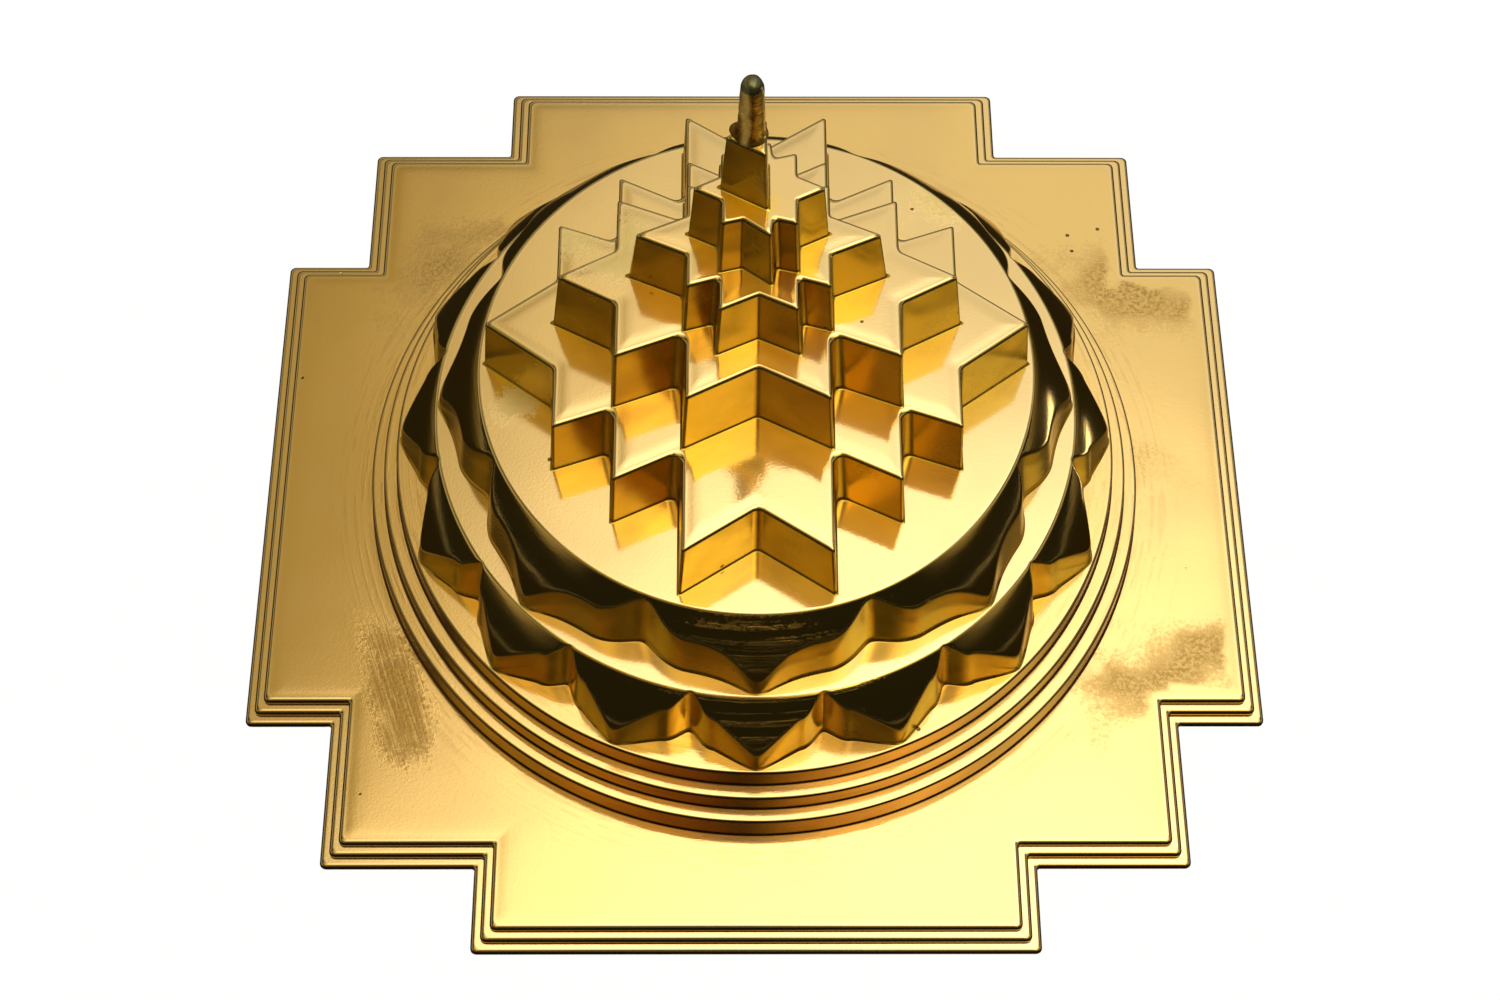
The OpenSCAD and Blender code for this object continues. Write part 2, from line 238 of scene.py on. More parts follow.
def rounded(points, inner_r, outer_r):
    """Outline with its corners turned into arcs, each between two points that keep the sides flat."""
    ring = []
    for i, corner in enumerate(points):
        before, after = points[i - 1], points[(i + 1) % len(points)]
        u, v = (before - corner).normalized(), (after - corner).normalized()
        half = math.acos(max(-1.0, min(1.0, u.dot(v)))) / 2
        is_outer = u.y * v.x > u.x * v.y
        radius = outer_r if is_outer else inner_r
        centre = corner + (u + v).normalized() * (radius / math.sin(half))
        tangent = radius / math.tan(half)
        start = corner + u * tangent - centre
        end = corner + v * tangent - centre
        swing = math.atan2(start.x * end.y - start.y * end.x, start.dot(end))
        first = math.atan2(start.y, start.x)
        ring.append(corner + u * (tangent + SUPPORT))
        for k in range(ARC_STEPS + 1):
            angle = first + swing * k / ARC_STEPS
            ring.append(centre + radius * Vector((math.cos(angle), math.sin(angle))))
        ring.append(corner + v * (tangent + SUPPORT))
    return ring


def circle(radius, count):
    """Points of a circle, counter-clockwise from the front."""
    turn = 2 * math.pi / count
    return [radius * Vector((math.sin(i * turn), -math.cos(i * turn))) for i in range(count)]


def quarter_arc(steps):
    """Angles of a quarter turn in equal steps, with both ends."""
    return [math.pi / 2 * k / steps for k in range(steps + 1)]


def full_outline(half):
    """Outline on both sides of the X axis from its upper half, listed from right to left."""
    return [Vector(p) for p in half] + [Vector((x, -y)) for x, y in reversed(half[1:-1])]


def star_outline(reach, lines, inner, outer, notch):
    """Full counter-clockwise outline from its four equal quarters."""
    quarter = [(reach, 0.0)]
    for line, near, far in zip(lines, inner, outer):
        quarter += [(line, near), (line, far)]
    half = quarter + [(0.0, notch)] + [(-x, y) for x, y in reversed(quarter)]
    return full_outline(half)


def heights(node):
    """Lowest and highest point of a solid, in millimetres."""
    low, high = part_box(node)
    return low.z / MM, high.z / MM


def new_piece(name, data):
    """New object, linked to the scene."""
    piece = bpy.data.objects.new(name, data)
    bpy.context.scene.collection.objects.link(piece)
    return piece


def made_mesh(name, maker):
    """New mesh with the faces of a bmesh, which is freed."""
    mesh = bpy.data.meshes.new(name)
    maker.to_mesh(mesh)
    maker.free()
    return mesh


def loft(rings, zones):
    """Closed mesh through rings of 3-D points in millimetres, given from the bottom up.

    zones holds (wall, edge, grime_and_shade) for each ring, and inner too where the paint has a border;
    they become point attributes. On the polished brass, edge carries a painted highlight and
    grime_and_shade carries painted shade with grime. A wall value of 2 stands for the turned shoulder
    of a lotus.
    """
    count = len(rings[0])
    mesh = bpy.data.meshes.new("loft")
    vertices = [(p[0] * MM, p[1] * MM, p[2] * MM) for ring in rings for p in ring]
    faces = [tuple(reversed(range(count)))]
    for level in range(len(rings) - 1):
        low, high = level * count, (level + 1) * count
        for i in range(count):
            j = (i + 1) % count
            faces.append((low + i, low + j, high + j, high + i))
    top = (len(rings) - 1) * count
    faces.append(tuple(range(top, top + count)))
    mesh.from_pydata(vertices, [], faces)
    for channel, title in enumerate(("wall", "edge", "grime_and_shade", "inner")[:len(zones[-1])]):
        values = [zone[channel] for zone in zones for _ in range(count)]
        mesh.attributes.new(title, "FLOAT", "POINT").data.foreach_set("value", values)
    mesh.validate()
    return mesh


def soften(mesh):
    """Smooth shading, with the steeper edges kept sharp."""
    mesh.shade_smooth()
    mesh.set_sharp_from_angle(angle=SHARP_ANGLE)


def tier_profile(full_height, draft, top_r, roll_off=()):
    """(inset, height, zone) of each ring of a drafted wall with a foot fillet and a rounded top edge.

    roll_off lists (distance, drop) pairs for a top that falls towards its edge.
    """
    slope = math.tan(draft)
    height = full_height - (roll_off[0][1] if roll_off else 0.0)
    wall_top = height - top_r
    profile = []
    # Painted shade and grime fill the foot fillet and fade up the wall
    for t in quarter_arc(FOOT_STEPS):
        z = FOOT_R * (1 - math.cos(t))
        profile.append((FOOT_R * (math.sin(t) - 1) + z * slope, z, (1, 0, 1)))
    for rise, grime_and_shade in GRIME_AND_SHADE_FADE:
        z = FOOT_R + rise
        profile.append((z * slope, z, (1, 0, grime_and_shade)))
    z = wall_top - SUPPORT
    profile.append((z * slope, z, (1, 0, 0)))
    # Top edge: a painted highlight on its rounding, and painted shade on its outer part
    for k, t in enumerate(quarter_arc(ARC_STEPS)):
        z = wall_top + top_r * math.sin(t)
        share = k / ARC_STEPS
        profile.append((z * slope + top_r * (1 - math.cos(t)), z, (1 - share, 0.4, 1 - share ** 2)))
    last = profile[-1][0]
    profile.append((last + SUPPORT, height, (0, 0.3, 0)))
    for distance, fall in roll_off or ((3 * SUPPORT, 0.0),):
        profile.append((last + distance, full_height - fall, (0, 0, 0)))
    return profile


def star_mesh(outline, inner_r, draft, low_z, high_z, roll_off=()):
    """Star tier with drafted walls, softened points and a rounded top edge."""
    rings, zones = [], []
    for distance, z, zone in tier_profile(high_z - low_z, draft, EDGE_R, roll_off):
        plan = rounded(inset(outline, distance), inner_r, POINT_R)
        rings.append([(p.x, p.y, low_z + z) for p in plan])
        zones.append(zone)
    return loft(rings, zones)


def circle_mesh(radius, low_z, high_z):
    """Turned circle with a drafted wall and a rounded top edge."""
    rings, zones = [], []
    for distance, z, zone in tier_profile(high_z - low_z, WALL_DRAFT, CIRCLE_EDGE_R):
        rings.append([(p.x, p.y, low_z + z) for p in circle(radius - distance, CIRCLE_POINTS)])
        zones.append(zone)
    return loft(rings, zones)


def terrace_outline(level):
    """Counter-clockwise outline of one plate with its four gates."""
    back = level * TERRACE_STEP
    side, gate, shoulder = (width / 2 - back for width in (BASE_W, GATE_W, SHOULDER_W))
    quarter = [(side, -gate), (side, gate), (shoulder, gate), (shoulder, shoulder), (gate, shoulder)]
    outline = []
    for turn in range(4):
        spin = Matrix.Rotation(math.pi / 2 * turn, 2)
        outline += [spin @ Vector(p) for p in quarter]
    return outline


def terrace_profile(height, roll_off):
    """(inset, height, zone) of each ring of a plate with rounded edges; roll_off is as for a tier."""
    drop = roll_off[0][1] if roll_off else 0.0
    wall_top = height - drop - TERRACE_EDGE_R
    profile = []
    # Painted shade and grime on the lower rounding, with a little painted highlight
    for t in quarter_arc(FOOT_STEPS):
        z = TERRACE_BOTTOM_R * (1 - math.cos(t))
        profile.append((TERRACE_BOTTOM_R * (1 - math.sin(t)), z, (1, 0.3, 0.7)))
    profile.append((0, max(TERRACE_BOTTOM_R + LEAST_WALL, wall_top - SUPPORT), (1, 0, 0.2)))
    # Upper rounding: a painted highlight, with painted shade on its outer part
    for k, t in enumerate(quarter_arc(ARC_STEPS)):
        z = wall_top + TERRACE_EDGE_R * math.sin(t)
        left = 1 - k / ARC_STEPS
        profile.append((TERRACE_EDGE_R * (1 - math.cos(t)), z, (left, 1, left)))
    profile.append((TERRACE_EDGE_R + SUPPORT, height - drop, (0, 0.7, 0)))
    for distance, fall in roll_off:
        profile.append((TERRACE_EDGE_R + distance, height - fall, (0, 0, 0)))
    if roll_off:
        profile.append((BORDER_W, height, (0, 0, 0)))
    return profile


def terrace_mesh(level, low_z, high_z, roll_off):
    """Square plate with four gates."""
    outline = terrace_outline(level)
    rings, zones = [], []
    for distance, z, zone in terrace_profile(high_z - low_z, roll_off):
        plan = rounded(inset(outline, distance), TERRACE_INNER_R, TERRACE_OUTER_R)
        rings.append([(p.x, p.y, low_z + z) for p in plan])
        zones.append(zone + (distance / BORDER_W,))
    return loft(rings, zones)


def petal_foot(petals, tip_d, notch_d, waist_at, sweep):
    """Foot radius round the lotus, from the front petal's tip on."""
    half_steps = LOTUS_POINTS // (2 * petals)
    radii = []
    for i in range(petals * 2 * half_steps):
        along = abs((i / half_steps + 1) % 2 - 1)
        blunt = abs(2 * along - 1) ** PETAL_ROUNDING / (PETAL_ROUNDING + 1)
        along = 0.5 + (along - 0.5) * (1 - blunt)
        if along < waist_at:
            reach = PETAL_WAIST + (1 - PETAL_WAIST) * (1 - along / waist_at) ** sweep
        else:
            reach = PETAL_WAIST * (1 - ((along - waist_at) / (1 - waist_at)) ** NOTCH_SWEEP)
        radii.append(notch_d / 2 + (tip_d - notch_d) / 2 * reach)
    return radii


class LotusSection:
    """Upright section of a lotus: a drafted petal wall that meets a sloping shoulder."""

    def __init__(self, flat_d, skirt_d, height):
        self.flat_r = flat_d / 2
        self.run = (skirt_d - flat_d) / 2
        self.height = height
        self.wall_top = height - LOTUS_EDGE_R
        self.slope = math.tan(PETAL_DRAFT)

    def shoulder(self, z):
        """Radius of the shoulder at a height."""
        return self.flat_r + self.run * (1 - min(1.0, z / self.height) ** SHOULDER_BULGE)

    def surface(self, foot, z):
        """Radius at a height: the lesser of wall and shoulder, blended at the rim."""
        wall, cone = foot - z * self.slope, self.shoulder(z)
        nearest = min(wall, cone)
        spread = math.exp((nearest - wall) / RIM_SOFT) + math.exp((nearest - cone) / RIM_SOFT)
        return nearest - RIM_SOFT * math.log(spread)

    def rim_height(self, foot):
        """Height at which a wall with this foot radius meets the shoulder."""
        low, high = 0.0, self.height
        for _ in range(RIM_SEARCHES):
            middle = (low + high) / 2
            if foot - middle * self.slope < self.shoulder(middle):
                low = middle
            else:
                high = middle
        return low

    def column(self, foot):
        """(radius, height) pairs from a foot radius up to the flat top."""
        rim = min(self.rim_height(foot), self.wall_top - RIM_ABOVE)
        past = RIM_STEPS[-1]
        rises = [share * (rim - RIM_BELOW) for share in WALL_SHARES]
        rises += [rim + step for step in RIM_STEPS]
        rises += [rim + past + share * (self.wall_top - rim - past) for share in SHOULDER_SHARES]
        pairs = [(self.surface(foot, z) + (FOOT_R if z == 0 else 0), z) for z in rises]
        base = self.surface(foot, self.wall_top)
        for t in quarter_arc(ARC_STEPS)[1:]:
            z = self.wall_top + LOTUS_EDGE_R * math.sin(t)
            pairs.append((min(base, self.surface(foot, z)) - LOTUS_EDGE_R * (1 - math.cos(t)), z))
        pairs.append((pairs[-1][0] - SUPPORT, self.height))
        pairs.append((pairs[-1][0] - 3 * SUPPORT, self.height))
        return pairs


def lotus_zone(level):
    """(wall, edge, grime_and_shade) of one ring of a lotus, counted from its foot.

    Painted shade with grime marks the two lowest rings, and a painted highlight the rim and top edge.
    """
    rim_first = len(WALL_SHARES)
    rim_last = rim_first + len(RIM_STEPS) - 1
    shoulder_last = rim_last + len(SHOULDER_SHARES)
    if level < rim_first:
        return (1, 0, 1 if level < 2 else 0)
    if level <= rim_last:
        share = (level - rim_first) / (len(RIM_STEPS) - 1)
        return (1 + share, 1 - abs(2 * share - 1), 0)
    if level <= shoulder_last:
        return (2, 0, 0)
    share = min(1.0, (level - shoulder_last) / ARC_STEPS)
    return (2 * (1 - share), 1 - max(0, level - shoulder_last - ARC_STEPS) * 0.5, 0)


def lotus_mesh(petals, tip_d, notch_d, flat_d, skirt_d, waist_at, sweep, low_z, high_z):
    """Turned drum with a sloping shoulder, cut into petals, with softened rims."""
    section = LotusSection(flat_d, skirt_d, high_z - low_z)
    columns = [section.column(foot) for foot in petal_foot(petals, tip_d, notch_d, waist_at, sweep)]
    spots = circle(1.0, len(columns))
    rings, zones = [], []
    for level in range(len(columns[0])):
        ring = []
        for spot, column in zip(spots, columns):
            radius, z = column[level]
            ring.append((spot.x * radius, spot.y * radius, low_z + z))
        rings.append(ring)
        zones.append(lotus_zone(level))
    return loft(rings, zones)


def peg_profile(shank_z, foot_z, body_top):
    """(radius, height) pairs of the peg, from its shank's end to its cap."""
    shank = PEG_SHANK_D / 2
    foot_r, top_r, cap_r = PEG_FOOT_D / 2, PEG_TOP_D / 2, PEG_CAP_D / 2
    profile = [(shank, shank_z), (shank, foot_z - SHANK_GAP)]
    profile += [(foot_r + out, foot_z + rise) for out, rise in PEG_COLLAR]
    collar_top = foot_z + PEG_COLLAR[-1][1]
    length = body_top - foot_z - PEG_SHORT
    for k in range(1, PEG_LEVELS):
        share = k / PEG_LEVELS
        profile.append((foot_r + (top_r - foot_r) * share, collar_top + length * share))
    profile += [(top_r - back, body_top - depth) for back, depth in PEG_NECK]
    profile.append((cap_r + PEG_CAP_LIP, body_top))
    for t in quarter_arc(PEG_CAP_LEVELS)[1:-1]:
        profile.append((cap_r * math.cos(t) ** PEG_CAP_POWER, body_top + PEG_CAP_H * math.sin(t)))
    return profile


def unevenness(spot, z):
    """Unevenness of the cast peg at a place, as a share of its radius."""
    depth = 0.0
    for around, along, size, shift in PEG_WAVES:
        place = Vector((spot.x * around + shift, spot.y * around, z * along))
        depth += noise.noise(place) * size
    return depth * PEG_UNEVEN


def burr_reach(spot, above):
    """Reach of the solder burr at a height above the peg's foot."""
    towards = max(0.0, spot.x * BURR_WAY[0] + spot.y * BURR_WAY[1])
    return BURR_REACH * towards ** BURR_NARROW * max(0.0, 1 - above / BURR_H) ** BURR_TAPER


def peg_mesh(shank_z, foot_z, top_z):
    """Rough cast peg with a stepped cap, a solder collar and burr, and its hidden shank."""
    body_top = top_z - PEG_CAP_H
    rings, zones = [], []
    for radius, z in peg_profile(shank_z, foot_z, body_top):
        above = max(0.0, z - foot_z)
        is_rough = above > 0 and z < top_z - PEG_SMOOTH_TIP
        ring = []
        for spot in circle(1.0, PEG_POINTS):
            wobble = unevenness(spot, z) if is_rough else 0.0
            burr = burr_reach(spot, above) if z >= foot_z else 0.0
            r = radius * (1 + wobble) + burr
            ring.append((PEG_CENTRE[0] + spot.x * r, PEG_CENTRE[1] + spot.y * r, z))
        rings.append(ring)
        cap = 1 if z > body_top - PEG_CAP_PAINT else 0
        dark_foot = 1 if above < PEG_DARK_FOOT_H else 0
        zones.append((1, cap, dark_foot))
    return loft(rings, zones)


def stacked_solid(maker, centre, stack):
    """Adds a closed solid to a bmesh, through (plan points, height) pairs."""
    rings = []
    for plan, z in stack:
        spots = [((centre[0] + p.x) * MM, (centre[1] + p.y) * MM, z * MM) for p in plan]
        rings.append([maker.verts.new(spot) for spot in spots])
    count = len(rings[0])
    for low, high in zip(rings, rings[1:]):
        for i in range(count):
            j = (i + 1) % count
            maker.faces.new((low[i], low[j], high[j], high[i]))
    maker.faces.new(reversed(rings[0]))
    maker.faces.new(rings[-1])


def lathe_solid(maker, centre, profile, count):
    """Adds a closed turned solid to a bmesh, from (radius, height) pairs."""
    stacked_solid(maker, centre, [(circle(radius, count), z) for radius, z in profile])


def screw_spots():
    """Centres of the base screws."""
    turn = 2 * math.pi / SCREW_COUNT
    angles = [(i + 0.5) * turn for i in range(SCREW_COUNT)]
    return [(SCREW_CIRCLE_R * math.cos(angle), SCREW_CIRCLE_R * math.sin(angle)) for angle in angles]


def hole_cutter():
    """One object with the shapes of all holes, removed after use."""
    maker = bmesh.new()
    rod_r, pocket_r = ROD_HOLE_D / 2, POCKET_D / 2
    rod_top = heights("tie_rod")[1] + HOLE_GAP
    pocket_top = heights("upper_terrace")[1]
    rod_hole = [(pocket_r, -CUT_PAST), (pocket_r, pocket_top + CUT_STEP)]
    rod_hole += [(rod_r, pocket_top + 2 * CUT_STEP), (rod_r, rod_top)]
    lathe_solid(maker, (0, 0), rod_hole, ROD_HOLE_POINTS)

    head_r, shank_r = SCREW_HEAD_D / 2 + 2 * HOLE_GAP, SCREW_D / 2 + HOLE_GAP
    screw_top = heights("base_screws")[1] + HOLE_GAP
    screw_hole = [(head_r, -CUT_PAST), (head_r, 0.0), (shank_r, head_r - shank_r), (shank_r, screw_top)]
    for spot in screw_spots():
        lathe_solid(maker, spot, screw_hole, SCREW_HOLE_POINTS)

    dowel_r = DOWEL_HOLE_D / 2
    for node, x in DOWEL_X.items():
        middle = heights(node)[1]
        dowel_hole = [(dowel_r, middle - DOWEL_HOLE_L / 2), (dowel_r, middle + DOWEL_HOLE_L / 2)]
        for side in (x, -x):
            lathe_solid(maker, (side, 0), dowel_hole, DOWEL_HOLE_POINTS)

    peg_r = PEG_SHANK_D / 2 + HOLE_GAP
    peg_low = heights("eight_point_star")[1] - PEG_BITE - HOLE_GAP
    peg_high = heights("apex_triangle")[1] + CUT_PAST
    lathe_solid(maker, PEG_CENTRE, [(peg_r, peg_low), (peg_r, peg_high)], PEG_HOLE_POINTS)
    return new_piece("holes", made_mesh("holes", maker))


def drill(piece, cutter):
    """Cuts the holes and keeps the result as the piece's own mesh."""
    cut = piece.modifiers.new("holes", "BOOLEAN")
    cut.operation = "DIFFERENCE"
    cut.solver = "EXACT"
    cut.object = cutter
    bpy.context.view_layer.update()
    solid = piece.evaluated_get(bpy.context.evaluated_depsgraph_get())
    piece.data = bpy.data.meshes.new_from_object(solid)
    piece.modifiers.clear()


def socket_plan():
    """Points of the hexagon socket, as many as a screw's circles have."""
    sixth = math.pi / 3
    plan = []
    for i in range(SCREW_POINTS):
        angle = 2 * math.pi * i / SCREW_POINTS
        off = (angle + sixth / 2) % sixth - sixth / 2
        reach = SOCKET_R / math.cos(off)
        plan.append(Vector((math.sin(angle), -math.cos(angle))) * reach)
    return plan


def screws_mesh(low_z, high_z):
    """Countersunk screws with hexagon sockets and threaded shanks."""
    head_r, shank_r = SCREW_HEAD_D / 2, SCREW_D / 2
    neck = low_z + head_r - shank_r
    shank = []
    for k in range(int((high_z - neck - THREAD_SPARE) / THREAD_PITCH)):
        crest_z = neck + THREAD_START + THREAD_PITCH * k
        shank.append((shank_r - THREAD_CREST, crest_z))
        shank.append((shank_r - THREAD_ROOT, crest_z + THREAD_PITCH / 2))
    shank += [(shank_r - back, high_z - short) for back, short in SCREW_TIP]
    flats = socket_plan()
    stack = [([SOCKET_END_SHARE * p for p in flats], low_z + SOCKET_END_DEPTH)]
    stack += [(flats, low_z + SOCKET_DEPTH), (flats, low_z)]
    head = [(head_r - HEAD_CHAMFER, low_z), (head_r, low_z + HEAD_CHAMFER), (shank_r, neck)]
    stack += [(circle(radius, SCREW_POINTS), z) for radius, z in head + shank]
    maker = bmesh.new()
    for spot in screw_spots():
        stacked_solid(maker, spot, stack)
    return made_mesh("screws", maker)


# Noise values that spread() takes as its low and high end
NOISE_LOW = 0.3
NOISE_HIGH = 0.7
# Distances, in units of a patch's reach, at which it has ended and at which it is full
PATCH_END = 1.15
PATCH_FULL = 0.4
BROAD_ROUGHNESS = 0.42


class Paint:
    """Short names for the nodes of one material."""

    def __init__(self, name):
        self.material = bpy.data.materials.new(name)
        self.material.use_nodes = True
        self.tree = self.material.node_tree
        self.tree.nodes.clear()
        self.place = self.add("ShaderNodeTexCoord").outputs["Object"]

    def add(self, kind, inputs=None, **settings):
        """New node with its settings, and a link or plain value at each named input."""
        made = self.tree.nodes.new(kind)
        for key, value in settings.items():
            setattr(made, key, value)
        for key, value in (inputs or {}).items():
            if isinstance(value, bpy.types.NodeSocket):
                self.tree.links.new(value, made.inputs[key])
            else:
                made.inputs[key].default_value = value
        return made

    def attribute(self, name):
        return self.add("ShaderNodeAttribute", attribute_name=name).outputs["Fac"]

    def axes(self, vector):
        return self.add("ShaderNodeSeparateXYZ", {"Vector": vector}).outputs

    def vector_math(self, operation, a, b=(0, 0, 0)):
        return self.add("ShaderNodeVectorMath", {0: a, 1: b}, operation=operation).outputs

    def local(self, centre, reach, turn=0.0):
        """Coordinates that count from a centre in units of a reach, on axes turned about Z."""
        spin = (0, 0, math.radians(turn))
        inputs = {"Vector": self.place, "Location": centre, "Rotation": spin, "Scale": reach}
        return self.add("ShaderNodeMapping", inputs, vector_type="TEXTURE").outputs["Vector"]

    def stretched(self, scale, turn=0.0):
        """Object coordinates turned about Z and scaled by axis."""
        return self.local((0, 0, 0), [1 / s for s in scale], turn)

    def grain(self, scale, detail=2.0, place=None, rough=0.5, warp=0.0):
        """Noise about the middle of 0 to 1."""
        inputs = {"Vector": place or self.place, "Scale": scale, "Detail": detail,
                  "Roughness": rough, "Distortion": warp}
        return self.add("ShaderNodeTexNoise", inputs).outputs["Fac"]

    def math(self, operation, a, b=0.0, clamp=False):
        made = self.add("ShaderNodeMath", {0: a, 1: b}, operation=operation, use_clamp=clamp)
        return made.outputs["Value"]

    def times(self, a, b):
        return self.math("MULTIPLY", a, b)

    def ramp(self, value, low, high, to_low=0.0, to_high=1.0):
        """Smooth step from to_low to to_high, as value runs from low to high."""
        inputs = {"Value": value, "From Min": low, "From Max": high, "To Min": to_low, "To Max": to_high}
        made = self.add("ShaderNodeMapRange", inputs, interpolation_type="SMOOTHSTEP")
        return made.outputs["Result"]

    def spread(self, grain, low, high):
        """Noise turned into values from low to high."""
        return self.ramp(grain, NOISE_LOW, NOISE_HIGH, low, high)

    def tint(self, share, a, b, how="MIX"):
        """Colour a with a share of colour b."""
        made = self.add("ShaderNodeMix", {0: share, 6: a, 7: b}, data_type="RGBA", blend_type=how)
        return made.outputs[2]

    def coat(self, colour, over, share, strength):
        """Colour with another over it, by a share times a strength."""
        return self.tint(self.times(share, strength), colour, over)

    def blend(self, share, a, b):
        made = self.add("ShaderNodeMix", {0: share, 2: a, 3: b}, data_type="FLOAT")
        return made.outputs[0]

    def patch(self, centre, reach, turn, ragged):
        """1 at a spot, falling to 0 at a ragged edge about a reach away; sizes in millimetres."""
        place = self.local([c * MM for c in centre], [r * MM for r in reach], turn)
        away = self.vector_math("LENGTH", place)["Value"]
        return self.ramp(self.math("ADD", away, ragged), PATCH_END, PATCH_FULL)

    def bump(self, height, distance, normal=None):
        """Normal with a relief of this depth in metres, on top of another normal."""
        inputs = {"Height": height, "Distance": distance, "Strength": 1.0}
        if normal is not None:
            inputs["Normal"] = normal
        return self.add("ShaderNodeBump", inputs).outputs["Normal"]

    def metal(self, colour, roughness, normal, broad=0.0, metallic=1.0):
        """Finished metal, with a share of broad, hazy reflection beside the sharp one."""
        inputs = {"Base Color": colour, "Roughness": roughness, "Normal": normal, "Metallic": metallic}
        surface = self.add("ShaderNodeBsdfPrincipled", inputs).outputs["BSDF"]
        if broad:
            inputs["Roughness"] = BROAD_ROUGHNESS
            hazy = self.add("ShaderNodeBsdfPrincipled", inputs).outputs["BSDF"]
            surface = self.mixed(broad, surface, hazy)
        return self.finished(surface)

    def mixed(self, share, a, b):
        """Shader a with a share of shader b."""
        return self.add("ShaderNodeMixShader", {0: share, 1: a, 2: b}).outputs["Shader"]

    def emission(self, colour, strength):
        inputs = {"Color": colour, "Strength": strength}
        return self.add("ShaderNodeEmission", inputs).outputs["Emission"]

    def diffuse(self, colour):
        return self.add("ShaderNodeBsdfDiffuse", {"Color": colour}).outputs["BSDF"]

    def finished(self, surface):
        """The material, with its surface shader connected."""
        out = self.add("ShaderNodeOutputMaterial", {"Surface": surface})
        out.is_active_output = True
        return self.material


# Brass of floors, walls and rubbed patches, on the plates and on the tiers; the walls' brass is
# darker on the plates as painted shade, and deeper amber on the tiers as a painted reflection
PLATE_BRASS = (0.92, 0.65, 0.25, 1)
PLATE_WALL_SHADE = (0.40, 0.19, 0.05, 1)
PLATE_RUBBED = (0.38, 0.225, 0.055, 1)
TIER_BRASS = (0.91, 0.68, 0.32, 1)
TIER_WALL_REFLECTION = (0.87, 0.58, 0.065, 1)
TIER_RUBBED = (0.97, 0.80, 0.33, 1)
SHOULDER_SHADE = (0.74, 0.47, 0.13, 1)
# Dull brass, paler brass as a painted highlight, painted shade with grime, and stains, with shares
DULL_BRASS = (0.70, 0.50, 0.24, 1)
EDGE_HIGHLIGHT = (0.95, 0.77, 0.43, 1)
EDGE_HIGHLIGHT_SHARE = 0.5
GRIME_AND_SHADE = (0.16, 0.09, 0.03, 1)
WALL_STAIN = (0.46, 0.22, 0.03, 1)
STAIN_SHARE = 0.45
SPECK = (0.20, 0.11, 0.04, 1)
SPECK_SHARE = 0.85
STREAK_SHARE = 0.9
SOLDER = (0.92, 0.70, 0.34, 1)
TRIANGLE_GOLD = (1.0, 0.70, 0.10, 1)
# Peg, with painted light on its right side and painted shade on its left, and fasteners
PEG_LIT_GOLD = (0.97, 0.62, 0.14, 1)
PEG_SHADED_BROWN = (0.46, 0.22, 0.02, 1)
PEG_SMEAR = (0.96, 0.66, 0.22, 1)
PEG_CAP = (0.20, 0.19, 0.10, 1)
PEG_DARK_FOOT_SHARE = 0.6
STEEL_PALE = (0.62, 0.61, 0.59, 1)
STEEL_DARK = (0.47, 0.46, 0.44, 1)

# Rubbed patches: centre and reach in millimetres, turn in degrees
BRUSHED_RUB = ((-54.0, -37.0, 3.3), (4.6, 11.0, 9.0), 19)
PLATE_RUBS = (
    BRUSHED_RUB,
    ((-50.5, 39.5, 3.3), (8.0, 12.0, 9.0), -38),
    ((63.5, 33.0, 3.3), (17.0, 7.5, 9.0), -17),
    ((69.0, 31.5, 3.3), (9.0, 7.0, 9.0), 0),
    ((62.0, -33.5, 3.3), (15.0, 7.5, 9.0), 22),
)
TIER_RUBS = (
    ((-33.8, -6.1, 37.2), (5.0, 3.2, 3.0), 40),
    ((-25.3, 15.7, 48.1), (7.0, 6.0, 3.0), 20),
    ((27.7, 30.5, 37.2), (9.0, 6.0, 3.0), 40),
    ((-18.7, 4.0, 60.0), (6.0, 5.0, 3.0), 0),
)
# Paler face of the triangle and runs of solder below the peg: centre, reach, strength and colour
TIER_MARKS = (
    ((-2.0, -2.0, 86.0), (5.0, 3.0, 9.0), 0.7, TRIANGLE_GOLD),
    ((0.3, -3.2, 86.5), (0.9, 1.2, 5.0), 0.95, SOLDER),
    ((-3.4, -1.2, 90.8), (1.6, 1.2, 1.3), 0.95, SOLDER),
)
TIER_MARK_TURN = -28
# Part of the lotus shoulders with strong turning marks: centre and reach
TURNED_FRONT = ((1.0, -46.0, 28.0), (15.0, 14.0, 16.0))


@dataclass
class Finish:
    """What differs between the polish of the plates and that of the tiers."""

    floor: tuple
    wall: tuple
    rubbed: tuple
    patches: tuple
    has_border: bool
    rub_share: float
    sand_share: float
    grime_and_shade_share: float
    rub_rough: float


PLATE_FINISH = Finish(PLATE_BRASS, PLATE_WALL_SHADE, PLATE_RUBBED, PLATE_RUBS, True, 0.45, 0.85, 0.9, 0.2)
TIER_FINISH = Finish(TIER_BRASS, TIER_WALL_REFLECTION, TIER_RUBBED, TIER_RUBS, False, 0.48, 0.45, 0.25, 0.38)


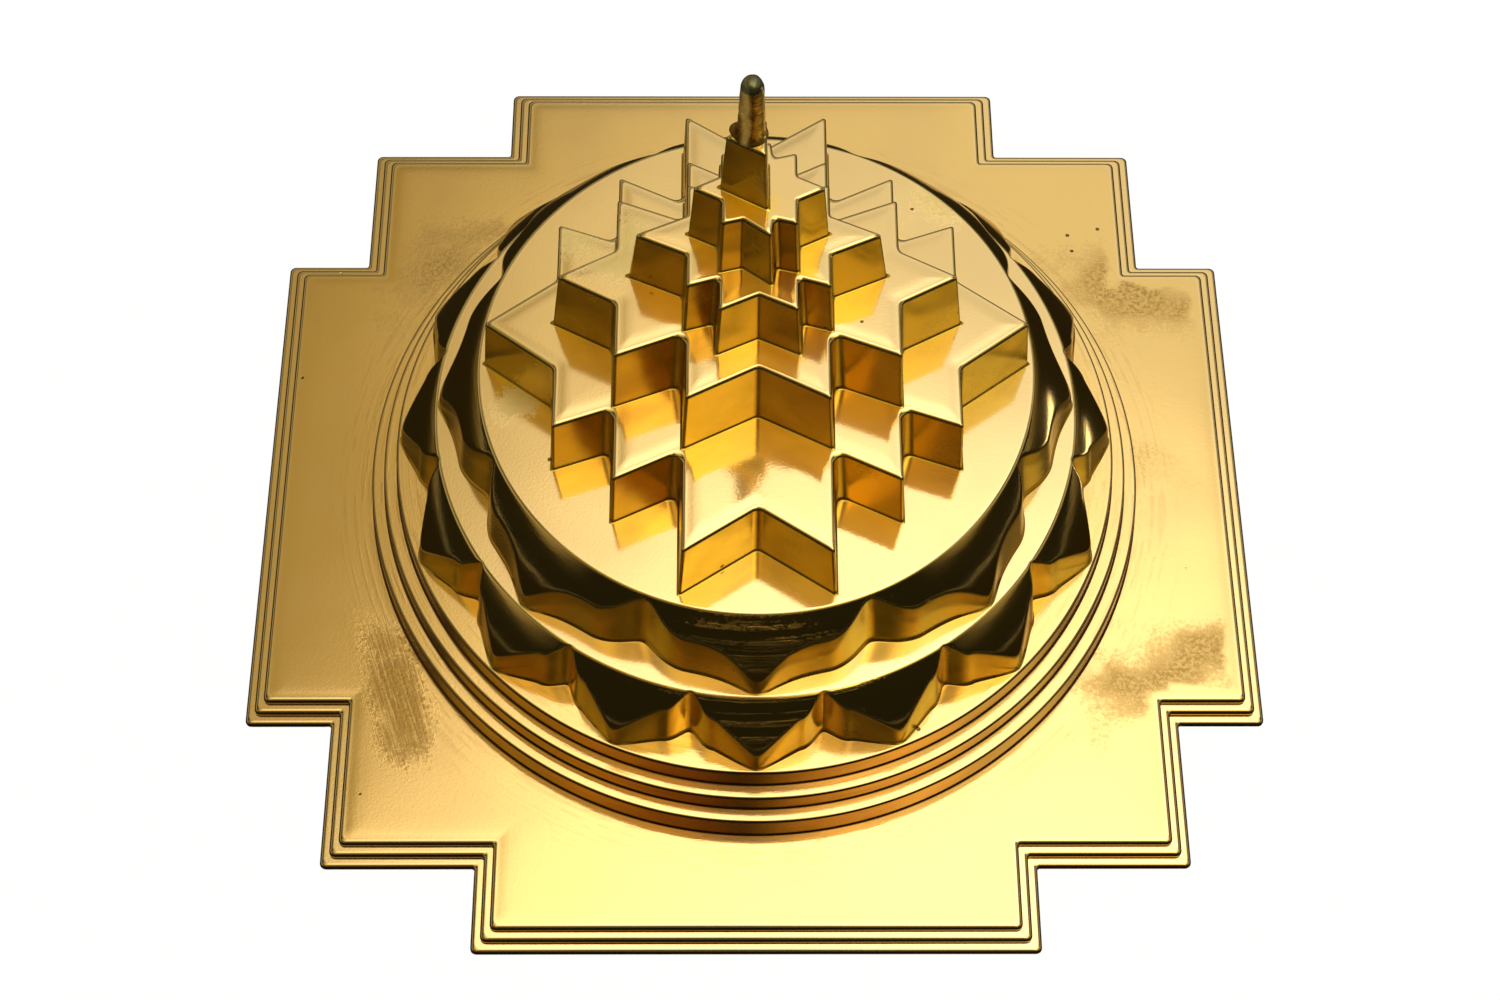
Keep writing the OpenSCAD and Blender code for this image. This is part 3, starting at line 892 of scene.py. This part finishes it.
class PolishedBrass(Paint):
    """Hand-polished brass: mirror floors, satin walls, rubbed patches, sanding marks and pits."""

    def __init__(self, name, finish):
        super().__init__(name)
        self.finish = finish
        self.zone = self.attribute("wall")
        self.wall = self.math("MINIMUM", self.zone, 1.0)
        self.floor = self.math("SUBTRACT", 1.0, self.wall, clamp=True)
        self.clouds = self.grain(55, 3)
        fine = self.grain(1500, 4, rough=0.7)
        ragged = self.spread(self.grain(90, 3), -0.35, 0.35)
        self.ragged = self.math("ADD", ragged, self.spread(fine, -0.3, 0.3))
        self.haze = self.rubbing()
        self.sand = self.times(self.ramp(fine, 0.42, 0.62), self.haze)
        self.pits = self.pitting()
        self.colour = self.brass_colour()
        self.normal = self.brass_relief()

    def rubbing(self):
        """Share of rubbing on the floors, which leaves a wavy border along the plate's edge."""
        haze = self.ramp(self.grain(30, 5, warp=0.8), 0.6, 0.8, 0.0, 0.35)
        for centre, reach, turn in self.finish.patches:
            haze = self.math("MAXIMUM", haze, self.patch(centre, reach, turn, self.ragged))
        if self.finish.has_border:
            wave = self.spread(self.grain(190, 2), -0.22, 0.22)
            inside = self.ramp(self.math("ADD", self.attribute("inner"), wave), 0.36, 0.64)
            haze = self.times(haze, inside)
        return self.times(haze, self.floor)

    def pitting(self):
        """1 in the middle of a few scattered cells."""
        cells = self.add("ShaderNodeTexVoronoi", {"Vector": self.place, "Scale": 210.0}).outputs
        lot = self.add("ShaderNodeSeparateColor", {"Color": cells["Color"]}).outputs[0]
        chosen = self.ramp(lot, 0.84, 0.87)
        return self.times(self.ramp(cells["Distance"], 0.07, 0.03), chosen)

    def brass_colour(self):
        finish = self.finish
        stains = self.times(self.ramp(self.grain(75, 5, warp=0.5), 0.42, 0.72), self.wall)
        # Walls take their own brass: darker on the plates as painted shade, deeper amber on the tiers as
        # a painted reflection
        colour = self.tint(self.wall, finish.floor, finish.wall)
        colour = self.tint(self.ramp(self.clouds, 0.4, 0.75, 0.0, 0.22), colour, DULL_BRASS)
        colour = self.coat(colour, WALL_STAIN, stains, STAIN_SHARE)
        colour = self.coat(colour, finish.rubbed, self.haze, finish.rub_share)
        colour = self.coat(colour, finish.rubbed, self.sand, finish.sand_share)
        # Painted highlight: paler brass along the rounded edges and lotus rims
        colour = self.coat(colour, EDGE_HIGHLIGHT, self.attribute("edge"), EDGE_HIGHLIGHT_SHARE)
        # Painted shade with grime at the walls' feet and on the outer part of their top edges
        colour = self.coat(colour, GRIME_AND_SHADE, self.attribute("grime_and_shade"), finish.grime_and_shade_share)
        return self.coat(colour, SPECK, self.pits, SPECK_SHARE)

    def brass_relief(self):
        normal = self.bump(self.grain(24, 2), 0.00018)
        normal = self.bump(self.grain(2600, 2), 0.000004, normal)
        normal = self.bump(self.sand, 0.00001, normal)
        return self.bump(self.math("SUBTRACT", 1.0, self.pits), 0.00015, normal)

    def polished(self, satin, broad):
        """The material, from the roughness of its walls and its share of broad reflection."""
        mirror = self.spread(self.clouds, 0.07, 0.12)
        rubbed = self.times(self.haze, self.finish.rub_rough)
        rough = self.math("ADD", self.blend(self.wall, mirror, satin), rubbed)
        return self.metal(self.colour, rough, self.normal, broad)


def plate_brass_material():
    """Brass of the plates and circles, with polishing marks round the circles and one brushed patch."""
    paint = PolishedBrass("plate_brass", PLATE_FINISH)
    from_axis = paint.vector_math("LENGTH", paint.stretched((1, 1, 0.000001)))["Value"]
    turning = {"X": paint.times(from_axis, 1300.0), "Y": paint.times(paint.clouds, 7.0)}
    turning = paint.add("ShaderNodeCombineXYZ", turning).outputs["Vector"]
    round_marks = paint.ramp(paint.grain(1, 3, turning, 0.6), 0.48, 0.72)
    round_marks = paint.times(round_marks, paint.ramp(from_axis, 0.07, 0.06, 0.0, 0.28))
    centre, reach, turn = BRUSHED_RUB
    brushed = paint.ramp(paint.grain(1, 3, paint.stretched((2200, 110, 300), turn), 0.6), 0.32, 0.58)
    brushed = paint.times(brushed, paint.patch(centre, reach, turn, paint.ragged))
    streaks = paint.times(paint.math("MAXIMUM", brushed, round_marks), paint.floor)
    paint.colour = paint.coat(paint.colour, PLATE_RUBBED, streaks, STREAK_SHARE)
    paint.normal = paint.bump(streaks, 0.000012, paint.normal)
    satin = paint.spread(paint.grain(140, 3), 0.1, 0.16)
    return paint.polished(satin, paint.blend(paint.wall, 0.09, 0.05))


def tier_brass_material():
    """Brass of the lotuses and stars, with solder runs, and turned lotus shoulders in darker brass as
    painted shade.
    """
    paint = PolishedBrass("tier_brass", TIER_FINISH)
    for centre, reach, strength, mark_colour in TIER_MARKS:
        run = paint.patch(centre, reach, TIER_MARK_TURN, paint.ragged)
        paint.colour = paint.coat(paint.colour, mark_colour, run, strength)
    turned = paint.math("SUBTRACT", paint.zone, 1.0, clamp=True)
    # Painted shade: the turned shoulders take a darker brass
    paint.colour = paint.tint(turned, paint.colour, SHOULDER_SHADE)
    centre, reach = TURNED_FRONT
    front = paint.ramp(paint.patch(centre, reach, 0, paint.ragged), 0, 1, 0.03, 1.0)
    rings = paint.ramp(paint.grain(1, 4, paint.stretched((14, 14, 1400)), 0.6), 0.46, 0.66)
    rings = paint.times(rings, paint.times(turned, front))
    paint.normal = paint.bump(rings, 0.00005, paint.normal)
    satin = paint.blend(turned, paint.spread(paint.grain(140, 3), 0.17, 0.28), 0.1)
    return paint.polished(satin, paint.blend(turned, 0.09, paint.ramp(rings, 0, 1, 0.02, 0.12)))


def cast_brass_material():
    """Unpolished cast brass: rippled, with a pale smear of solder at the left and a grey-green cap.

    Its right side is golden as painted light, and its left side brown as painted shade.
    """
    paint = Paint("cast_brass")
    bands = paint.grain(1, 3, paint.stretched((160, 160, 900)), 0.6, 0.6)
    # Painted light and shade: golden on the peg's right side, brown on its left, with a wavy border and
    # broken by the ripples
    shift = paint.ramp(paint.grain(260, 2), 0.2, 0.8, -0.0004, 0.0004)
    across = paint.math("ADD", paint.axes(paint.place)["X"], shift)
    lit_side = paint.times(paint.ramp(across, -0.0010, 0.0003), paint.ramp(bands, 0.62, 0.4, 0.55, 1.0))
    colour = paint.tint(lit_side, PEG_SHADED_BROWN, PEG_LIT_GOLD)
    smear = paint.ramp(paint.math("ABSOLUTE", paint.math("ADD", across, 0.0020)), 0.0010, 0.0002)
    colour = paint.tint(smear, colour, PEG_SMEAR)
    colour = paint.tint(paint.attribute("edge"), colour, PEG_CAP)
    # Darker band at the peg's foot
    colour = paint.coat(colour, GRIME_AND_SHADE, paint.attribute("grime_and_shade"), PEG_DARK_FOOT_SHARE)
    rough = paint.spread(paint.grain(900, 3), 0.22, 0.36)
    normal = paint.bump(bands, 0.00004)
    normal = paint.bump(paint.grain(900, 2), 0.00001, normal)
    return paint.metal(colour, rough, normal, metallic=paint.blend(smear, 0.85, 0.3))


def machined_steel_material():
    """Plain machined steel with fine turning marks."""
    paint = Paint("machined_steel")
    marks = paint.grain(1, 3, paint.stretched((300, 300, 9000)))
    colour = paint.tint(paint.spread(marks, 0.0, 1.0), STEEL_PALE, STEEL_DARK)
    rough = paint.spread(paint.grain(400, 3), 0.22, 0.38)
    normal = paint.bump(marks, 0.00002)
    return paint.metal(colour, rough, normal)


def finish_piece(name, mesh, node, material, cutter=None):
    """Makes a piece that stands for a solid: drilled, softened, painted and riding on the body."""
    piece = new_piece(name, mesh)
    if cutter is not None:
        drill(piece, cutter)
    soften(piece.data)
    piece.data.materials.clear()
    piece.data.materials.append(material)
    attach(piece, "root")
    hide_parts(node)


def dress_fastener(node, material):
    """Paints a solid that is shown as it is, with its edges chamfered."""
    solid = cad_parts[node]
    solid.data.materials.clear()
    solid.data.materials.append(material)
    weld = solid.modifiers.new("weld", "WELD")
    weld.merge_threshold = FASTENER_WELD
    chamfer = solid.modifiers.new("chamfer", "BEVEL")
    chamfer.width = FASTENER_CHAMFER
    chamfer.segments = 2
    chamfer.limit_method = "ANGLE"
    chamfer.angle_limit = FASTENER_ANGLE


plate_brass = plate_brass_material()
tier_brass = tier_brass_material()
peg_brass = cast_brass_material()
steel = machined_steel_material()

holes = hole_cutter()
for level, node in enumerate(("lower_terrace", "middle_terrace", "upper_terrace")):
    roll = PLATE_ROLL if node == "upper_terrace" else ()
    mesh = terrace_mesh(level, *heights(node), roll)
    finish_piece(node + "_polished", mesh, node, plate_brass, holes)
for level, node in enumerate(("lower_circle", "middle_circle", "upper_circle")):
    mesh = circle_mesh(CIRCLE_D / 2 - level * CIRCLE_STEP, *heights(node))
    finish_piece(node + "_polished", mesh, node, plate_brass, holes)
for node, sizes in LOTUSES.items():
    mesh = lotus_mesh(*sizes, *heights(node))
    finish_piece(node + "_polished", mesh, node, tier_brass, holes)
for node, sizes in STARS.items():
    corner_r = SMALL_CORNER_R if node == "inner_ten_point_star" else LARGE_CORNER_R
    mesh = star_mesh(star_outline(*sizes), corner_r, WALL_DRAFT, *heights(node), STAR_ROLL)
    finish_piece(node + "_polished", mesh, node, tier_brass, holes)
small_tiers = {
    "eight_point_star": full_outline(EIGHT_POINT_HALF),
    "apex_triangle": [Vector(p) for p in TRIANGLE],
}
for node, outline in small_tiers.items():
    mesh = star_mesh(outline, SMALL_CORNER_R, APEX_DRAFT, *heights(node))
    finish_piece(node + "_polished", mesh, node, tier_brass, holes)
bpy.data.objects.remove(holes)

triangle_low, triangle_high = heights("apex_triangle")
mesh = peg_mesh(triangle_low - PEG_BITE, triangle_high, heights("bindu_peg")[1])
finish_piece("bindu_peg_cast", mesh, "bindu_peg", peg_brass)
mesh = screws_mesh(*heights("base_screws"))
finish_piece("base_screws_threaded", mesh, "base_screws", steel)
for node in ("tie_rod", "tie_rod_washer", "tie_rod_nut", "locating_dowels"):
    dress_fastener(node, steel)


WHITE = (1, 1, 1, 1)
STUDIO_R = 4.0
# White floor: drop below the object, paper colour, strength and share of its glow
FLOOR_DROP = 0.0001
FLOOR_PAPER = (0.9, 0.9, 0.89, 1)
FLOOR_WHITE = 1.06
FLOOR_SHARE = 0.92
FLOOR_POINTS = 96
# Soft lights of the tent: azimuth, elevation, inner and outer half angle, colour
LIGHTS = (
    (22, 75, 5, 20, (1.20, 1.11, 1.08, 1)),
    (30, 88, 8, 24, (0.76, 0.71, 0.60, 1)),
    (22, 56, 6, 23, (0.85, 0.79, 0.66, 1)),
    (-24, 62, 5, 19, (0.39, 0.30, 0.13, 1)),
    (108, 68, 8, 23, (1.28, 1.32, 0.80, 1)),
    (143, 62, 6, 18, (0.92, 0.68, 0.24, 1)),
    (-110, 70, 10, 20, (0.56, 0.47, 0.09, 1)),
    (-145, 62, 5, 16, (0.30, 0.15, 0.04, 1)),
)
TENT_DARK = (0.016, 0.017, 0.010, 1)
# Depth at which the tent is cut off, as a share of its radius
TENT_CUT = 0.01
# Glow round the object, which starts higher in front; its limits are Y or Z of a unit direction
SIDE_GLOW = (0.42, 0.37, 0.27, 1)
GLOW_FRONT = (-0.25, -0.6)
GLOW_LOWER = (0.18, 0.30)
GLOW_UPPER = (0.50, 0.60)
GLOW_UPPER_SHARE = 0.75
GLOW_END = (0.72, 0.58)
# Dark card round the base: gap, outer radius, points, greys of its front and back, and Y between them
CARD_GAP = 0.0001
CARD_OUTER_R = 2.4
CARD_STEPS = 720
CARD_NEAR = (0.035, 0.034, 0.022, 1)
CARD_FAR = (0.3, 0.28, 0.22, 1)
CARD_CHANGE = (0.09, 0.2)
# Lit spot on the card
CARD_SPOT = (0.174, 0.041, 0.0)
CARD_SPOT_R = 0.027
CARD_SPOT_WHITE = 5.0
# Stands for a direction's zero part in a division
TINY = 1e-9


def direction(azimuth, elevation):
    """Unit vector; azimuth in degrees from the back towards the right."""
    a, e = math.radians(azimuth), math.radians(elevation)
    return (math.sin(a) * math.cos(e), math.cos(a) * math.cos(e), math.sin(e))


def base_reach(x, y):
    """Distance from the centre to the base's outline, along a direction with these parts."""
    side, gate, shoulder = (width / 2 * MM for width in (BASE_W, GATE_W, SHOULDER_W))
    boxes = ((side, gate), (gate, side), (shoulder, shoulder))
    return max(min(wide / max(x, TINY), deep / max(y, TINY)) for wide, deep in boxes)


def studio_floor():
    """White floor that keeps the object's shadow."""
    maker = bmesh.new()
    bmesh.ops.create_circle(maker, cap_ends=True, radius=STUDIO_R, segments=FLOOR_POINTS)
    floor = new_piece("studio_floor", made_mesh("floor", maker))
    floor.location.z = -FLOOR_DROP
    paint = Paint("studio_floor")
    rays = paint.add("ShaderNodeLightPath").outputs
    shown = paint.math("MAXIMUM", rays["Is Camera Ray"], rays["Is Glossy Ray"])
    shown = paint.math("MAXIMUM", shown, rays["Is Transmission Ray"])
    white = paint.emission(WHITE, FLOOR_WHITE)
    surface = paint.mixed(paint.times(shown, FLOOR_SHARE), paint.diffuse(FLOOR_PAPER), white)
    floor.data.materials.append(paint.finished(surface))
    return floor


def studio_tent():
    """Soft tent that is bright behind and above, and dark in front."""
    maker = bmesh.new()
    bmesh.ops.create_uvsphere(maker, u_segments=64, v_segments=32, radius=STUDIO_R)
    below = [v for v in maker.verts if v.co.z < -TENT_CUT * STUDIO_R]
    bmesh.ops.delete(maker, geom=below, context="VERTS")
    tent = new_piece("studio_tent", made_mesh("tent", maker))
    tent.visible_camera = False
    paint = Paint("studio_tent")
    way = paint.vector_math("NORMALIZE", paint.place)["Vector"]
    glow = TENT_DARK
    for azimuth, elevation, inner, outer, colour in LIGHTS:
        facing = paint.vector_math("DOT_PRODUCT", way, direction(azimuth, elevation))["Value"]
        ends = (math.cos(math.radians(outer)), math.cos(math.radians(inner)))
        glow = paint.tint(paint.ramp(facing, *ends), glow, colour, "ADD")
    axes = paint.axes(way)
    beside = paint.math("SUBTRACT", 1.0, paint.ramp(axes["Y"], *GLOW_FRONT))
    lower = paint.times(paint.ramp(axes["Z"], *GLOW_LOWER), beside)
    upper = paint.ramp(axes["Z"], *GLOW_UPPER, 0.0, GLOW_UPPER_SHARE)
    band = paint.times(paint.math("MAXIMUM", lower, upper), paint.ramp(axes["Z"], *GLOW_END))
    glow = paint.tint(band, glow, SIDE_GLOW, "ADD")
    tent.data.materials.append(paint.finished(paint.emission(glow, 1.0)))
    return tent


def studio_card():
    """Dark card round the base, seen in reflections alone."""
    maker = bmesh.new()
    rings = []
    for k in range(CARD_STEPS + 1):
        angle = 2 * math.pi * k / CARD_STEPS
        heading = Vector((math.sin(angle), math.cos(angle), 0.0))
        opening = base_reach(abs(heading.x), abs(heading.y)) + CARD_GAP
        rings.append((maker.verts.new(heading * opening), maker.verts.new(heading * CARD_OUTER_R)))
    for (near, far), (next_near, next_far) in zip(rings, rings[1:]):
        maker.faces.new((near, next_near, next_far, far))
    card = new_piece("studio_dark_card", made_mesh("card", maker))
    card.visible_camera = False
    card.visible_diffuse = False
    card.visible_shadow = False
    paint = Paint("studio_dark_card")
    grey = paint.tint(paint.ramp(paint.axes(paint.place)["Y"], *CARD_CHANGE), CARD_NEAR, CARD_FAR)
    away = paint.vector_math("DISTANCE", paint.place, CARD_SPOT)["Value"]
    spot = paint.ramp(away, CARD_SPOT_R, 0.5 * CARD_SPOT_R)
    surface = paint.mixed(spot, paint.diffuse(grey), paint.emission(WHITE, CARD_SPOT_WHITE))
    card.data.materials.append(paint.finished(surface))
    return card


def studio_world():
    """Plain white surroundings."""
    world = bpy.data.worlds.new("studio_world")
    bpy.context.scene.world = world
    world.use_nodes = True
    background = world.node_tree.nodes["Background"]
    background.inputs["Color"].default_value = WHITE
    background.inputs["Strength"].default_value = 1.0


# Camera of the photograph: pitch, yaw and roll in degrees, place, and focal length at this image width
CAMERA_ANGLES = (61.612, 0.964, -0.861)
CAMERA_PLACE = (-0.00378, -0.18837, 0.34453)
FOCAL_PX = 2498.8
IMAGE_W_PX = 1500
SENSOR_W = 36.0


def photo_camera():
    """Camera at the photograph's place and angle."""
    pitch, yaw, roll = (math.radians(angle) for angle in CAMERA_ANGLES)
    level_part = math.cos(pitch)
    ahead = Vector((math.sin(yaw) * level_part, math.cos(yaw) * level_part, -math.sin(pitch)))
    level = Vector((math.cos(yaw), -math.sin(yaw), 0.0))
    down = ahead.cross(level)
    right = math.cos(roll) * level + math.sin(roll) * down
    up = math.sin(roll) * level - math.cos(roll) * down
    data = bpy.data.cameras.new("photo_camera")
    data.sensor_width = SENSOR_W
    data.lens = FOCAL_PX / IMAGE_W_PX * SENSOR_W
    data.clip_start = 0.01
    data.clip_end = 20.0
    camera = new_piece("photo_camera", data)
    turn = Matrix((right, up, -ahead)).transposed().to_4x4()
    camera.matrix_world = Matrix.Translation(CAMERA_PLACE) @ turn
    bpy.context.scene.camera = camera


floor, tent, card = studio_floor(), studio_tent(), studio_card()
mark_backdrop(floor, tent, card)
studio_world()
photo_camera()
bpy.context.scene.view_settings.view_transform = "Standard"

seen_low, seen_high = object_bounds()
sizes = {"cad": [list(cad_low), list(cad_high)], "visual": [list(seen_low), list(seen_high)]}
